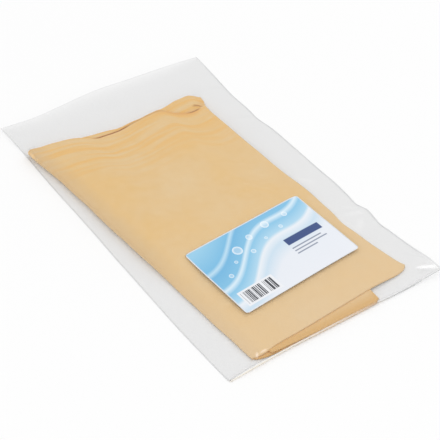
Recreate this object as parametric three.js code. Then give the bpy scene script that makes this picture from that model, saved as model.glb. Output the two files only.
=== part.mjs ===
import * as THREE from 'three';

// A folded chamois leather in a clear flat bag with a label on its front film.
// Millimetres, +Z up. X runs across the bag, Y runs along it to the open mouth,
// and the bag lies on its back film at Z = 0. The origin is under the middle of the bag.

// Clearances
const pieceGap = 0.3;
const layerGap = 0.2;

// The skin: one sheet, turned in at its far end and then folded in thirds.
// Its top panel is the left third, folded over the middle panel, with the bottom third inside.
const skinThickness = 0.7;
const foldedLength = 233;
const turnedInLength = 117;
const topPanelHemWidth = 132.5;
const topPanelRidgeWidth = 137.5;
const middlePanelHemWidth = 101.5;
const middlePanelRidgeWidth = 139;
const innerPanelHemWidth = 90;
const innerPanelRidgeWidth = 126;
const leftFoldLean = 16;
const ridgeDrop = 24;
const topHemRise = 2.4;
const middleHemDrop = 6;
const innerHemRise = 14;
const rollLift = 1.6;
const sagInset = 2.7;
const sagReach = 14;

// Hems and far ridges, as offsets along the bag: [share of the width, share of the folded length].
const topHemShares = [[0, 0], [0.06, -0.0124], [0.18, -0.0086], [0.31, -0.0013], [0.5, 0], [0.76, -0.0026], [1, 0]];
const middleHemShares = [[0, 0], [0.12, -0.0129], [0.28, -0.018], [0.58, -0.0146], [0.9, -0.009], [1, 0]];
const topRidgeShares = [[0, 0], [0.2, -0.0129], [0.35, -0.0215], [0.5, 0], [0.63, 0.0077], [0.78, 0.0197],
  [0.86, -0.0172], [1, 0]];
const lowerRidgeShares = [[0, 0], [0.18, 0.0082], [0.33, 0.0043], [0.5, 0.0013], [0.7, 0.0129], [0.83, 0.0588],
  [0.9, 0.073], [0.97, 0.0815], [1, 0.0558]];

// The top panel's right edge is drawn in: [share of the folded length, share of the panel's width].
const topEdgeShares = [[0, 0], [0.2, -0.004], [0.43, -0.011], [0.5, -0.021], [0.7, -0.024], [1, 0]];

// Where the shape changes along the folded length, as shares of it.
const stepStartShare = 0.435;
const stepSettleShare = 0.005;
const hemReachShare = 0.2;
const ridgeStartShare = 0.86;
const rollStartShares = { along: 0.965, across: 0.78 };
const rollFullShare = 0.88;

// The bag
const filmThickness = 0.2;
const weldWidth = 1;
const sideMargin = 3.5;
const rightMargin = 23;
const hemMargin = 9.6;
const mouthMargin = 33.4;
const edgePullIn = 4;
const foldFlange = 0.5;
const cornerLift = 3;
const cornerReach = 28;

// The front film's edge at the mouth is drawn back: [share of the bag's width, share of its length].
const mouthEdgeShares = [[0, 0], [0.15, 0.013], [0.3, 0.0095], [0.47, 0.0025], [0.6, 0.005], [0.76, 0.0076],
  [0.9, 0.0035], [1, 0]];
const nearSlopeLength = 6;
const rampStart = 34;
// How much fuller than a straight line the front film's slopes are, and how much its hollow ones sag.
const nearBulgeShare = 2.5;
const sideBulgeShare = 1.3;
const overhangBulgeShare = 0.4;
const rampSagShare = 0.7;
const rightSagShare = 0.6;

// The label
const labelWidth = 100;
const labelHeight = 62;
const labelThickness = 0.15;
const labelCornerRadius = 2;
const labelTurn = THREE.MathUtils.degToRad(3.4);
// How far the label's middle lies right of the top panel's middle, and how far it is from the bottom fold.
const labelOffset = 1.75;
const labelInset = 70.6;

// Worked out from the sizes above
const bagWidth = sideMargin + leftFoldLean + topPanelHemWidth + rightMargin;
const bagLength = hemMargin + foldedLength + mouthMargin;
const pitch = skinThickness + layerGap;
const skinBase = filmThickness + pieceGap;
const turnShare = 1 - turnedInLength / foldedLength;
const filmEdgeInset = weldWidth + pieceGap;
const frontFilmBase = filmThickness + pieceGap;

const mix = (from, to, share) => from + (to - from) * share;

function smooth(value, start, end) {
  const share = THREE.MathUtils.clamp((value - start) / (end - start), 0, 1);
  return share * share * (3 - 2 * share);
}

// A smooth line through a short list of [place, value] pairs.
function lineThrough(pairs) {
  return (place) => {
    const after = pairs.findIndex((pair) => pair[0] >= place);
    if (after === -1) {
      return pairs[pairs.length - 1][1];
    }
    if (after === 0) {
      return pairs[0][1];
    }
    const [start, from] = pairs[after - 1];
    const [end, to] = pairs[after];
    return mix(from, to, smooth(place, start, end));
  };
}

// A closed solid of even thickness round the middle surface place(across, along). Each quad is split along
// its shorter diagonal, so that layers that lie over each other bend alike.
function sheetSolid(acrossStops, alongStops, thickness, place) {
  const columns = acrossStops.length;
  const rows = alongStops.length;
  const middle = alongStops.map((along) => acrossStops.map((across) => place(across, along)));
  const positions = [];
  for (const side of [1, -1]) {
    for (let row = 0; row < rows; row += 1) {
      for (let column = 0; column < columns; column += 1) {
        const acrossWay = middle[row][Math.min(column + 1, columns - 1)].clone();
        acrossWay.sub(middle[row][Math.max(column - 1, 0)]);
        const alongWay = middle[Math.min(row + 1, rows - 1)][column].clone();
        alongWay.sub(middle[Math.max(row - 1, 0)][column]);
        const normal = acrossWay.cross(alongWay).normalize();
        const point = middle[row][column].clone().addScaledVector(normal, side * thickness / 2);
        positions.push(point.x, point.y, point.z);
      }
    }
  }
  const upper = (column, row) => row * columns + column;
  const lower = (column, row) => rows * columns + upper(column, row);
  const indices = [];
  const vertex = (index) => new THREE.Vector3().fromArray(positions, index * 3);
  const quad = (a, b, c, d) => {
    const firstIsShorter = vertex(a).distanceTo(vertex(c)) <= vertex(b).distanceTo(vertex(d));
    indices.push(...(firstIsShorter ? [a, b, c, a, c, d] : [a, b, d, b, c, d]));
  };
  for (let row = 0; row + 1 < rows; row += 1) {
    for (let column = 0; column + 1 < columns; column += 1) {
      quad(upper(column, row), upper(column + 1, row), upper(column + 1, row + 1), upper(column, row + 1));
      quad(lower(column, row), lower(column, row + 1), lower(column + 1, row + 1), lower(column + 1, row));
    }
  }
  const lastColumn = columns - 1;
  const lastRow = rows - 1;
  for (let column = 0; column < lastColumn; column += 1) {
    quad(lower(column, 0), lower(column + 1, 0), upper(column + 1, 0), upper(column, 0));
    quad(upper(column, lastRow), upper(column + 1, lastRow), lower(column + 1, lastRow), lower(column, lastRow));
  }
  for (let row = 0; row < lastRow; row += 1) {
    quad(upper(0, row), upper(0, row + 1), lower(0, row + 1), lower(0, row));
    quad(lower(lastColumn, row), lower(lastColumn, row + 1), upper(lastColumn, row + 1), upper(lastColumn, row));
  }
  const geometry = new THREE.BufferGeometry();
  geometry.setAttribute('position', new THREE.Float32BufferAttribute(positions, 3));
  geometry.setIndex(indices);
  geometry.computeVertexNormals();
  return geometry;
}

const evenStops = (count) => Array.from({ length: count + 1 }, (_, index) => index / count);

// How far the stack has risen from three layers to six, at a share of the folded length.
const stackRise = (share) => smooth(share, stepStartShare, turnShare - stepSettleShare);

// The level of each panel above the middle panel, in layers: three layers near the hem, six at the far end.
const panelLevels = {
  top: (rise) => mix(2, 5, rise),
  middle: () => 0,
  inner: (rise) => mix(1, 3, rise),
};

const topHem = lineThrough(topHemShares);
const middleHem = lineThrough(middleHemShares);
const topRidge = lineThrough(topRidgeShares);
const lowerRidge = lineThrough(lowerRidgeShares);
const topEdge = lineThrough(topEdgeShares);
const mouthEdge = lineThrough(mouthEdgeShares);

// The left fold joins the top and middle panels, and the right fold the middle and inner panels.
function foldRadius(levelAbove, rise, turnedIn) {
  return levelAbove(rise) * pitch / 2 - turnedIn;
}

function leftFoldX(share) {
  const bulge = foldRadius(panelLevels.top, stackRise(share), 0) + skinThickness / 2;
  return sideMargin + leftFoldLean * (1 - share) + bulge;
}

function rightFoldX(share) {
  const bulge = foldRadius(panelLevels.inner, stackRise(share), 0) + skinThickness / 2;
  const near = sideMargin + leftFoldLean + middlePanelHemWidth;
  return mix(near, sideMargin + middlePanelRidgeWidth, share) - bulge;
}

function topEdgeX(share) {
  const straight = mix(sideMargin + leftFoldLean + topPanelHemWidth, sideMargin + topPanelRidgeWidth, share);
  return straight + topEdge(share) * topPanelHemWidth;
}

function innerEdgeX(share) {
  return rightFoldX(share) - mix(innerPanelHemWidth, innerPanelRidgeWidth, share);
}

// The plan of a panel: x and y at a share of its width, counted from the left, and of the folded length.
function panelPlan(panel, across, share) {
  const leftX = panel === 'inner' ? innerEdgeX(share) : leftFoldX(share);
  const rightX = panel === 'top' ? topEdgeX(share) : rightFoldX(share);
  const x = mix(leftX, rightX, across);
  const acrossFold = (x - leftFoldX(share)) / (rightFoldX(share) - leftFoldX(share));
  const straightRidge = foldedLength - ridgeDrop * acrossFold;
  const ridge = (panel === 'top' ? topRidge(across) : lowerRidge(acrossFold)) * foldedLength;
  const hems = {
    top: topHemRise * across + topHem(across) * foldedLength,
    middle: -middleHemDrop * across + middleHem(across) * foldedLength,
    inner: -middleHemDrop + innerHemRise * smooth(1 - across, 0, 0.4),
  };
  const hemPull = 1 - smooth(share, 0, hemReachShare);
  const ridgePull = smooth(share, ridgeStartShare, 1);
  return { x, y: hemMargin + straightRidge * share + hems[panel] * hemPull + ridge * ridgePull };
}

// One point of the skin's middle surface. The strip says which panel or fold it is on, and the row
// where it is along the skin: on the base, in the far turn, or on the end that is turned in.
function skinPoint(strip, row) {
  const turnedIn = pitch * (1 - Math.cos(row.turn)) / 2;
  const ridgeBulge = pitch * Math.sin(row.turn) / 2;
  const rise = stackRise(row.share);
  const levelZ = (panel) => {
    const flip = panel === 'middle' ? 1 : -1;
    return skinBase + skinThickness / 2 + panelLevels[panel](rise) * pitch + flip * turnedIn;
  };
  if (strip.panel) {
    const plan = panelPlan(strip.panel, strip.across, row.share);
    let z = levelZ(strip.panel);
    if (strip.panel === 'top') {
      const overhang = plan.x - rightFoldX(row.share) - sagInset;
      z = mix(z, skinBase + skinThickness, smooth(overhang, 0, sagReach) * (1 - rise));
    }
    if (strip.panel === 'inner') {
      z += rollLift * smooth(strip.across, rollStartShares.across, rollFullShare)
        * smooth(row.share, rollStartShares.along, 1);
    }
    return new THREE.Vector3(plan.x, plan.y + ridgeBulge, z);
  }
  const left = strip.fold === 'left';
  const above = left ? 'top' : 'inner';
  const plan = panelPlan('middle', left ? 0 : 1, row.share);
  const upperZ = levelZ(above) + (left ? 0 : rollLift * smooth(row.share, rollStartShares.along, 1));
  const lowerZ = levelZ('middle');
  const radius = (upperZ - lowerZ) / 2;
  const reach = foldRadius(panelLevels[above], rise, turnedIn) * Math.sin(strip.angle);
  const z = lowerZ + radius * (1 + Math.cos(strip.angle));
  return new THREE.Vector3(plan.x + (left ? -reach : reach), plan.y + ridgeBulge, z);
}

function makeLeather() {
  const topStops = [1, 0.86, 0.78, 0.63, 0.5, 0.35, 0.2, 0];
  const middleStops = [0, 0.18, 0.33, 0.5, 0.7, 0.83, 0.9, 0.97, 1];
  const innerStops = [1, 0.93, 0.83, 0.7, 0.4, 0];
  const bend = (fold, count, from, to) => evenStops(count).slice(1, -1)
    .map((share) => ({ fold, angle: mix(from, to, share) }));
  const strips = [
    ...topStops.map((across) => ({ panel: 'top', across })),
    ...bend('left', 5, 0, Math.PI),
    ...middleStops.map((across) => ({ panel: 'middle', across })),
    ...bend('right', 4, Math.PI, 0),
    ...innerStops.map((across) => ({ panel: 'inner', across })),
  ];
  const stepStops = evenStops(3).map((share) => mix(stepStartShare, turnShare - stepSettleShare, share));
  const baseStops = [0, 0.07, 0.2, ...stepStops, 0.7, 0.86, 0.91, 0.96];
  const endStops = [0.96, 0.91, 0.86, 0.68, turnShare];
  const rows = [
    ...baseStops.map((share) => ({ share, turn: 0 })),
    ...evenStops(3).map((share) => ({ share: 1, turn: share * Math.PI })),
    ...endStops.map((share) => ({ share, turn: Math.PI })),
  ];
  return sheetSolid(strips, rows, skinThickness, skinPoint);
}

// The bag's right edge is drawn in along its length by the leather's bulk.
const rightEdgeX = (y) => bagWidth - edgePullIn * Math.sin(Math.PI * y / bagLength) ** 0.7;

// The near right corner of the bag curls up.
function cornerCurl(x, y) {
  const distance = Math.hypot(x - bagWidth, y);
  return cornerLift * smooth(1 - distance / cornerReach, 0, 1);
}

// Rows and columns lie closer where the corner curls.
const curlStops = [0.25, 0.5, 0.75, 1].map((share) => share * cornerReach);
const curledColumns = [0, ...curlStops.map((reach) => 1 - reach / bagWidth).reverse(), 1];
const curledRows = [0, ...curlStops.map((reach) => reach / bagLength), ...evenStops(10).slice(2)];

const clampShare = (share) => THREE.MathUtils.clamp(share, 0, 1);

const bulgingSlope = (share, bulge) => 1 - (1 - clampShare(share)) ** (1 + bulge);

const saggingSlope = (share, sag) => clampShare(share) ** (1 + sag);

// The stack rises from three layers to six between two places, and the front film climbs to the second of
// them in one long ramp.
const stackStart = hemMargin + stepStartShare * (foldedLength - ridgeDrop);
const rampEnd = hemMargin + (turnShare - stepSettleShare) * (foldedLength - ridgeDrop);

// How far the front film has climbed its ramp.
const rampRise = (y) => saggingSlope((y - rampStart) / (rampEnd - rampStart), rampSagShare);

// The inside of the front film clears the stack below it, and the stack's way out through the mouth.
function frontFilmInside(y) {
  const stack = skinThickness + panelLevels.top(rampRise(y)) * pitch;
  return skinBase + stack + pieceGap;
}

// The film leaves the stack at its left fold, and on the right where the top panel starts to sag. Past the
// ramp it keeps clear of the top panel's whole edge, which passes there on its way out.
function leftShoulderX(y) {
  return leftFoldX(clampShare((y - hemMargin) / foldedLength));
}

function rightShoulderX(y) {
  const near = rightFoldX(clampShare((y - hemMargin) / foldedLength)) + sagInset;
  const far = topEdgeX(turnShare - stepSettleShare) + pieceGap;
  return mix(near, far, smooth(y, rampStart, stackStart));
}

function frontFilmHeight(x, y) {
  const rise = frontFilmInside(y) - frontFilmBase;
  const leftRun = leftShoulderX(y) - filmEdgeInset;
  const left = bulgingSlope((x - filmEdgeInset) / leftRun, sideBulgeShare * rise / leftRun);
  const rightEnd = rightEdgeX(y) - filmEdgeInset;
  const rightShare = (rightEnd - x) / (rightEnd - rightShoulderX(y));
  const overhang = bulgingSlope(rightShare, overhangBulgeShare);
  const right = mix(overhang, saggingSlope(rightShare, rightSagShare), rampRise(y));
  const near = bulgingSlope((y - filmEdgeInset) / nearSlopeLength, nearBulgeShare);
  return frontFilmBase + rise * left * right * near + cornerCurl(x, y);
}

function makeFrontFilm() {
  const slopeStops = [0, 0.12, 0.26, 0.42, 0.6, 0.8];
  const acrossStops = [
    ...slopeStops.map((share) => ({ zone: 'left', share })),
    ...evenStops(4).map((share) => ({ zone: 'middle', share })),
    ...slopeStops.map((share) => ({ zone: 'right', share: 1 - share })).reverse(),
  ];
  const nearStops = [0, 0.1, 0.25, 0.5, 1].map((share) => filmEdgeInset + share * nearSlopeLength);
  const rampStops = evenStops(6).map((share) => mix(rampStart, rampEnd, share));
  const farStops = [0.25, 0.5, 0.75, 1].map((share) => mix(rampEnd, bagLength, share));
  const alongStops = [...nearStops, ...curlStops.slice(1), ...rampStops, ...farStops];
  return sheetSolid(acrossStops, alongStops, filmThickness, (stop, y) => {
    const rightEnd = rightEdgeX(y) - filmEdgeInset;
    const zones = {
      left: () => mix(filmEdgeInset, leftShoulderX(y), stop.share),
      middle: () => mix(leftShoulderX(y), rightShoulderX(y), stop.share),
      right: () => mix(rightShoulderX(y), rightEnd, stop.share),
    };
    const x = zones[stop.zone]();
    const drawnBack = mouthEdge(x / bagWidth) * bagLength * clampShare((y - rampEnd) / (bagLength - rampEnd));
    return new THREE.Vector3(x, y - drawnBack, frontFilmHeight(x, y) + filmThickness / 2);
  });
}

function makeBackFilm() {
  return sheetSolid(curledColumns, curledRows, filmThickness, (across, along) => {
    const y = mix(filmEdgeInset, bagLength, along);
    const x = mix(filmEdgeInset, rightEdgeX(y) - filmEdgeInset, across);
    return new THREE.Vector3(x, y, filmThickness / 2 + cornerCurl(x, y));
  });
}

const weldHeight = frontFilmBase + filmThickness;

function makeWeld(outerEdgeX, way) {
  return sheetSolid(evenStops(1), curledRows, weldHeight, (across, along) => {
    const y = along * bagLength;
    const outer = outerEdgeX(y);
    const inner = outer + way * weldWidth;
    const x = way > 0 ? mix(outer, inner, across) : mix(inner, outer, across);
    return new THREE.Vector3(x, y, weldHeight / 2 + cornerCurl(x, y));
  });
}

// The bottom fold turns the back film up into the front film.
function makeBottomFold() {
  const radius = (weldHeight - filmThickness) / 2;
  const turnStops = evenStops(6).map((share) => ({ angle: share * Math.PI, flange: 0 }));
  const profile = [
    { angle: 0, flange: foldFlange },
    ...turnStops,
    { angle: Math.PI, flange: foldFlange },
  ];
  return sheetSolid(curledColumns, profile, filmThickness, (across, stop) => {
    const x = mix(filmEdgeInset, bagWidth - filmEdgeInset, across);
    const y = weldWidth - foldFlange - radius * Math.sin(stop.angle) + stop.flange;
    const z = filmThickness / 2 + radius * (1 + Math.cos(stop.angle));
    return new THREE.Vector3(x, y, z + cornerCurl(x, y));
  });
}

// The label follows the front film. Its rows narrow at both ends to round its corners.
function makeLabel() {
  const cornerAngles = [0, 30, 60, 90].map((angle) => THREE.MathUtils.degToRad(angle));
  const rowAt = (angle, end) => ({
    along: end * (labelHeight / 2 - labelCornerRadius * (1 - Math.sin(angle))),
    halfWidth: labelWidth / 2 - labelCornerRadius * (1 - Math.cos(angle)),
  });
  const straightShares = [-0.6, -0.2, 0.2, 0.6];
  const rows = [
    ...cornerAngles.map((angle) => rowAt(angle, -1)).reverse(),
    ...straightShares.map((share) => ({ along: share * labelHeight / 2, halfWidth: labelWidth / 2 })),
    ...cornerAngles.map((angle) => rowAt(angle, 1)),
  ];
  const lift = filmThickness + pieceGap + labelThickness / 2;
  const middle = new THREE.Vector2(sideMargin + leftFoldLean + topPanelHemWidth / 2 + labelOffset, labelInset);
  return sheetSolid(evenStops(8), rows, labelThickness, (across, row) => {
    const place = new THREE.Vector2(mix(-row.halfWidth, row.halfWidth, across), row.along);
    place.rotateAround(new THREE.Vector2(0, 0), labelTurn).add(middle);
    return new THREE.Vector3(place.x, place.y, frontFilmHeight(place.x, place.y) + lift);
  });
}

const filmMaterial = new THREE.MeshStandardMaterial({
  color: '#e9ebec', roughness: 0.12, metalness: 0, transparent: true, opacity: 0.35,
});
const weldMaterial = new THREE.MeshStandardMaterial({
  color: '#dfe1e3', roughness: 0.2, metalness: 0, transparent: true, opacity: 0.5,
});
const leatherMaterial = new THREE.MeshStandardMaterial({ color: '#e2c38f', roughness: 0.9, metalness: 0 });
const labelMaterial = new THREE.MeshStandardMaterial({ color: '#e6f1f9', roughness: 0.3, metalness: 0 });

const pieces = [
  ['chamois_leather', makeLeather(), leatherMaterial],
  ['bag_back_film', makeBackFilm(), filmMaterial],
  ['bag_front_film', makeFrontFilm(), filmMaterial],
  ['bag_left_weld', makeWeld(() => 0, 1), weldMaterial],
  ['bag_right_weld', makeWeld(rightEdgeX, -1), weldMaterial],
  ['bag_bottom_fold', makeBottomFold(), weldMaterial],
  ['label_sticker', makeLabel(), labelMaterial],
];

const bagOfLeather = new THREE.Group();
bagOfLeather.position.set(-bagWidth / 2, -bagLength / 2, 0);
for (const [name, geometry, material] of pieces) {
  const mesh = new THREE.Mesh(geometry, material);
  mesh.name = name;
  bagOfLeather.add(mesh);
}

export default bagOfLeather;
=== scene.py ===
"""A folded chamois leather in its clear bag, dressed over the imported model."""

import math

import bmesh
import bpy
import numpy as np
from mathutils import Euler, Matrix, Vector


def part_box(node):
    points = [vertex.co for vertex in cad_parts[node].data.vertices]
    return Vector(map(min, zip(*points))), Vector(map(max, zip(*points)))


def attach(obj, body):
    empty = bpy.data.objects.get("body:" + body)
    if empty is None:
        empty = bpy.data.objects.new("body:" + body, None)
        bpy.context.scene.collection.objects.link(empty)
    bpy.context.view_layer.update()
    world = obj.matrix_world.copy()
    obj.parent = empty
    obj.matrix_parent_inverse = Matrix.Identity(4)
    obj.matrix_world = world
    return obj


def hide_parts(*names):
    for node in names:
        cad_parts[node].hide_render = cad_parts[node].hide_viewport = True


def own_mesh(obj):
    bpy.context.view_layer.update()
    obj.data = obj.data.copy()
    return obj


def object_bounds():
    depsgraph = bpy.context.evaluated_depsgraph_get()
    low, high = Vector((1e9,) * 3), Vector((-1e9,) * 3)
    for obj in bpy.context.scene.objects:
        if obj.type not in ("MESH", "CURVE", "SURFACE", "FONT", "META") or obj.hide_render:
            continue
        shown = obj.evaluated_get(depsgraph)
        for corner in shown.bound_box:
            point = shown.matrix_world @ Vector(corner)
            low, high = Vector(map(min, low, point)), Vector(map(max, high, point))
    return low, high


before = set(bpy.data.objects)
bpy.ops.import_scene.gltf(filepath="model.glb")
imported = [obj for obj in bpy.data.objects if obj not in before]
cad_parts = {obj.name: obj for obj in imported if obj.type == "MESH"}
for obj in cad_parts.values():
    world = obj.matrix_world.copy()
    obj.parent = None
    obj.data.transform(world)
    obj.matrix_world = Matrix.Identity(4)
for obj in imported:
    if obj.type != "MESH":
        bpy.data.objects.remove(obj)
CAD_LOW, CAD_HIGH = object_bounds()

bl_info = {
    "name": "Chamois leather in a bag",
    "version": (1, 0, 0),
    "blender": (4, 5, 0),
    "location": "View3D > Sidebar > Chamois",
    "description": "Models a folded chamois leather, its clear bag, the label on it and a plain stage",
    "category": "Add Mesh",
}

# Shapes are worked out in millimetres on the bag: u runs from its left edge, v from its bottom fold to
# its mouth, and z up from the floor.
MM = 0.001
LABEL_LOW, LABEL_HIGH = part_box("label_sticker")
BAG_WIDTH = (CAD_HIGH.x - CAD_LOW.x) / MM
BAG_LENGTH = (CAD_HIGH.y - CAD_LOW.y) / MM


def mix(start, end, share):
    """A value between two others."""
    return start + (end - start) * share


def smooth(value, start, end):
    """Rises from 0 at start to 1 at end, with level ends."""
    share = np.clip((value - start) / (end - start), 0, 1)
    return share * share * (3 - 2 * share)


def shares(columns, rows):
    """The shares from 0 to 1 across and along a grid of so many cells."""
    return np.linspace(0, 1, columns + 1)[None, :], np.linspace(0, 1, rows + 1)[:, None]


def unevenness(u, v, size, seed):
    """Smooth noise between -1 and 1, with hollows and rises of about a size."""
    count = 64
    lattice = np.random.default_rng(seed).uniform(-1, 1, (count, count))
    x, y = u / size, v / size
    column, row = np.floor(x).astype(int), np.floor(y).astype(int)
    right, up = smooth(x - column, 0, 1), smooth(y - row, 0, 1)
    near = mix(lattice[column % count, row % count], lattice[(column + 1) % count, row % count], right)
    row = row + 1
    far = mix(lattice[column % count, row % count], lattice[(column + 1) % count, row % count], right)
    return mix(near, far, up)


class Curve:
    """A smooth curve through a short list of (place, value) points."""

    def __init__(self, *points):
        self.places, self.values = np.array(points, float).T
        self.slopes = np.gradient(self.values, self.places)
        self.start, self.end = self.places[0], self.places[-1]

    def __call__(self, place):
        """The value at a place, which stays the same beyond the curve's ends."""
        place = np.clip(place, self.start, self.end)
        index = np.clip(np.searchsorted(self.places, place, side="right") - 1, 0, len(self.places) - 2)
        span = self.places[index + 1] - self.places[index]
        t = (place - self.places[index]) / span
        return (
            (2 * t**3 - 3 * t**2 + 1) * self.values[index]
            + (t**3 - 2 * t**2 + t) * span * self.slopes[index]
            + (3 * t**2 - 2 * t**3) * self.values[index + 1]
            + (t**3 - t**2) * span * self.slopes[index + 1]
        )

    def shifted(self, shift):
        """The same curve, moved by shift(place)."""
        return Curve(*zip(self.places, self.values + shift(self.places)))


# Outlines, in millimetres

# The bag's outline: u along v for its sides, v along u for its bottom
LEFT_EDGE = Curve(
    (0, -0.3), (20, -1.0), (55, -1.6), (90, -1.2), (125, -0.8), (150, -0.2), (210, 0.4), (252, 1.4),
    (276, 0.4),
)
RIGHT_EDGE = Curve(
    (0, 173.8), (12, 174.6), (20, 174.3), (34, 172.8), (49, 171.2), (55, 170.5), (60, 171.2), (65.5, 172.2),
    (71, 172.6), (75, 171.1), (79, 169.9), (83, 170.2), (88, 170.9), (95, 171.5), (105, 172.0),
    (115, 171.7), (150, 171.8), (178, 171.3), (190, 169.7), (202, 170.5), (224, 170.7), (247, 173.2),
    (276, 175.2),
)
BOTTOM_EDGE = Curve(
    (0, 2.0), (20, 2.0), (45, 2.2), (67, 1.6), (90, 1.1), (113, 0.5), (137, -0.7), (160, -1.0), (175, -1.6)
)
# The bag's corners that curl up from the floor: the corner's (u, v), its height and how far in it reaches
CORNER_CURLS = (((175.0, 0.0), 2.7, 30.0), ((175.0, 276.0), 1.0, 36.0), ((0.0, 276.0), 1.8, 36.0))
# The front film's edge at the gaping mouth, and the height of that edge along u
MOUTH_EDGE = Curve(
    (0, 276), (13, 273.3), (26, 271.9), (40, 272.2), (54, 273.0), (68, 274.3), (83, 274.9), (97, 274.5),
    (111, 273.9), (126, 273.9), (141, 274.0), (156, 274.8), (175, 275.8),
)
MOUTH = Curve(
    (0, 1.9), (13, 3.4), (26, 4.4), (40, 5.1), (54, 5.6), (68, 5.9), (97, 5.9), (126, 5.3), (141, 4.8),
    (156, 3.2), (175, 1.2),
)
# The height of the bag's bottom fold along u
FOLD_HEIGHT = Curve((0, 0.5), (14, 2.1), (40, 2.4), (112, 2.2), (130, 1.5), (160, 1.0), (175, 0.6))

# The leather's outline: u along v for its sides, v along u for its hems and ridges
LEFT_SIDE = Curve(
    (8.2, 21.4), (17, 20.8), (29, 20.0), (41, 18.8), (54, 18.1), (66, 17.2), (79, 16.3), (92, 15.4),
    (105, 14.2), (119, 12.9), (132, 12.0), (146, 10.8), (160, 10.0), (175, 9.4), (190, 8.1), (205, 7.1),
    (221, 4.9), (237, 3.1), (240.9, 2.9),
)
TOP_RIGHT = Curve(
    (15.9, 156.6), (21, 154.9), (32, 152.7), (44, 150.7), (56, 149.4), (69, 147.6), (80, 148.6),
    (91, 148.5), (103, 148.2), (115, 146.8), (128, 144.6), (141, 143.4), (154, 142.6), (167, 141.5),
    (181, 140.9), (195, 140.4), (209, 140.0), (218.2, 140.6),
)
TOP_HEM = Curve(
    (21.6, 8.2), (28, 7.2), (39, 8.3), (47, 8.6), (59, 8.8), (72, 9.3), (85, 9.9), (98, 10.5), (110, 11.1),
    (121, 11.7), (135, 11.9), (145, 11.9), (150, 12.5), (154.4, 14.0), (156.6, 15.9),
)
TOP_RIDGE = Curve(
    (5.5, 240.9), (13, 239.4), (19, 239.0), (27, 237.8), (36, 235.9), (41, 233.8), (46, 230.5), (51, 227.7),
    (58, 226.9), (64, 226.4), (71, 226.4), (78, 227.5), (84, 228.6), (91, 229.6), (100, 230.3),
    (106, 230.6), (109.5, 229.4), (112.5, 226.0), (116, 222.0), (120, 219.2), (126, 216.9), (131, 216.6),
    (135, 217.2), (140.6, 218.2),
)
LOW_HEM = Curve(
    (22.2, 8.4), (24, 7.2), (30, 5.3), (40, 4.1), (53, 3.2), (65, 2.3), (78, 1.8), (90, 1.5), (103, 1.1),
    (113, 0.9), (118, 1.3), (120.2, 2.8),
)
LOW_RIDGE = Curve(
    (5.5, 240.9), (14, 239.5), (20, 239.3), (28, 238.1), (36, 237.0), (41, 235.7), (46, 234.8), (51, 233.9),
    (56, 233.3), (65, 231.9), (69, 230.8), (74, 230.6), (80, 231.3), (91, 232.1), (103, 233.2),
    (108, 233.5), (113, 233.4), (118, 233.8), (124, 235.0), (130, 235.2), (135, 235.5), (139, 234.2),
    (142.4, 229.4),
)
LOW_RIGHT = Curve(
    (2.8, 121.0), (60, 125.0), (120, 132.0), (180, 138.2), (212, 140.3), (217, 141.0), (222, 143.0),
    (228.6, 144.4),
)
INNER_LEFT = Curve((5.2, 34), (60, 29), (120, 25), (180, 21), (238, 17.5))
INNER_HEM = Curve(
    (34, 5.2), (44, 4.3), (60, 3.2), (78, 2.3), (90, 1.9), (103, 1.5), (113, 1.2), (118, 1.5), (120.2, 2.8)
)
# Where along v the stack rises to its full height, as the far end is turned in
STEP_START = 76.0
STEP_END = 114.0
# Air in millimetres: between the films, between film and skin, and under the draped film
FILM_GAP = 0.02
SKIN_GAP = 0.2
DRAPE_GAP = 0.18
# Where a white highlight is painted on the film's creases: two ends in (u, v), half width and strength
CREASE_HIGHLIGHTS = (
    ((161.0, 8.9), (172.0, 2.6), 1.0, 0.85),
    ((23.5, 6.5), (26.5, 10.0), 0.7, 0.26),
    ((27.6, 8.8), (33.3, 8.3), 0.6, 0.24),
    ((147.5, 120.5), (159.0, 110.0), 1.2, 0.07),
    ((157.0, 81.0), (168.0, 75.5), 0.8, 0.07),
    ((152.0, 72.5), (168.0, 70.0), 1.0, 0.08),
    ((151.0, 57.0), (163.0, 65.0), 1.4, 0.06),
)
# The film's small ridges: two ends in (u, v), half width and height
WRINKLES = (
    ((147.5, 120.5), (159.0, 110.0), 2.2, 0.55),
    ((158.0, 101.0), (170.0, 98.5), 1.6, 0.5),
    ((152.0, 74.0), (169.0, 71.5), 1.8, 0.7),
    ((157.0, 81.0), (168.0, 75.5), 1.4, 0.5),
    ((150.0, 58.0), (163.0, 66.0), 2.4, 0.5),
    ((146.0, 196.0), (167.0, 191.5), 2.6, 0.5),
    ((150.0, 236.0), (171.0, 231.0), 2.4, 0.4),
    ((158.0, 26.0), (173.0, 9.0), 1.8, 0.9),
    ((146.0, 7.0), (166.0, 5.5), 2.0, 0.5),
    ((60.0, 258.0), (84.0, 248.0), 4.0, 0.5),
)


def strokes(lines, u, v):
    """The sum of soft lines, each with its two ends in (u, v), its half width and its strength."""
    total = 0 * u
    for (start_u, start_v), (end_u, end_v), width, strength in lines:
        run_u, run_v = end_u - start_u, end_v - start_v
        length = math.hypot(run_u, run_v)
        share = ((u - start_u) * run_u + (v - start_v) * run_v) / length**2
        aside = ((u - start_u) * run_v - (v - start_v) * run_u) / length
        ends = smooth(share, -0.2, 0.4) * (1 - smooth(share, 0.7, 1.15))
        total = total + strength * ends * np.exp(-((aside / width) ** 2))
    return total


def corner_curl(u, v):
    """How far the film, and what lies in it, is lifted near the bag's corners."""
    lift = 0
    for (corner_u, corner_v), height, reach in CORNER_CURLS:
        lift = lift + height * smooth(reach - np.hypot(u - corner_u, v - corner_v), 0, reach)
    return lift


# Settings


def linear(code):
    """An sRGB hex colour as linear red, green, blue and a full alpha."""
    parts = [int(code[i : i + 2], 16) / 255 for i in (1, 3, 5)]
    return [c / 12.92 if c <= 0.04045 else ((c + 0.055) / 1.055) ** 2.4 for c in parts] + [1.0]


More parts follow.
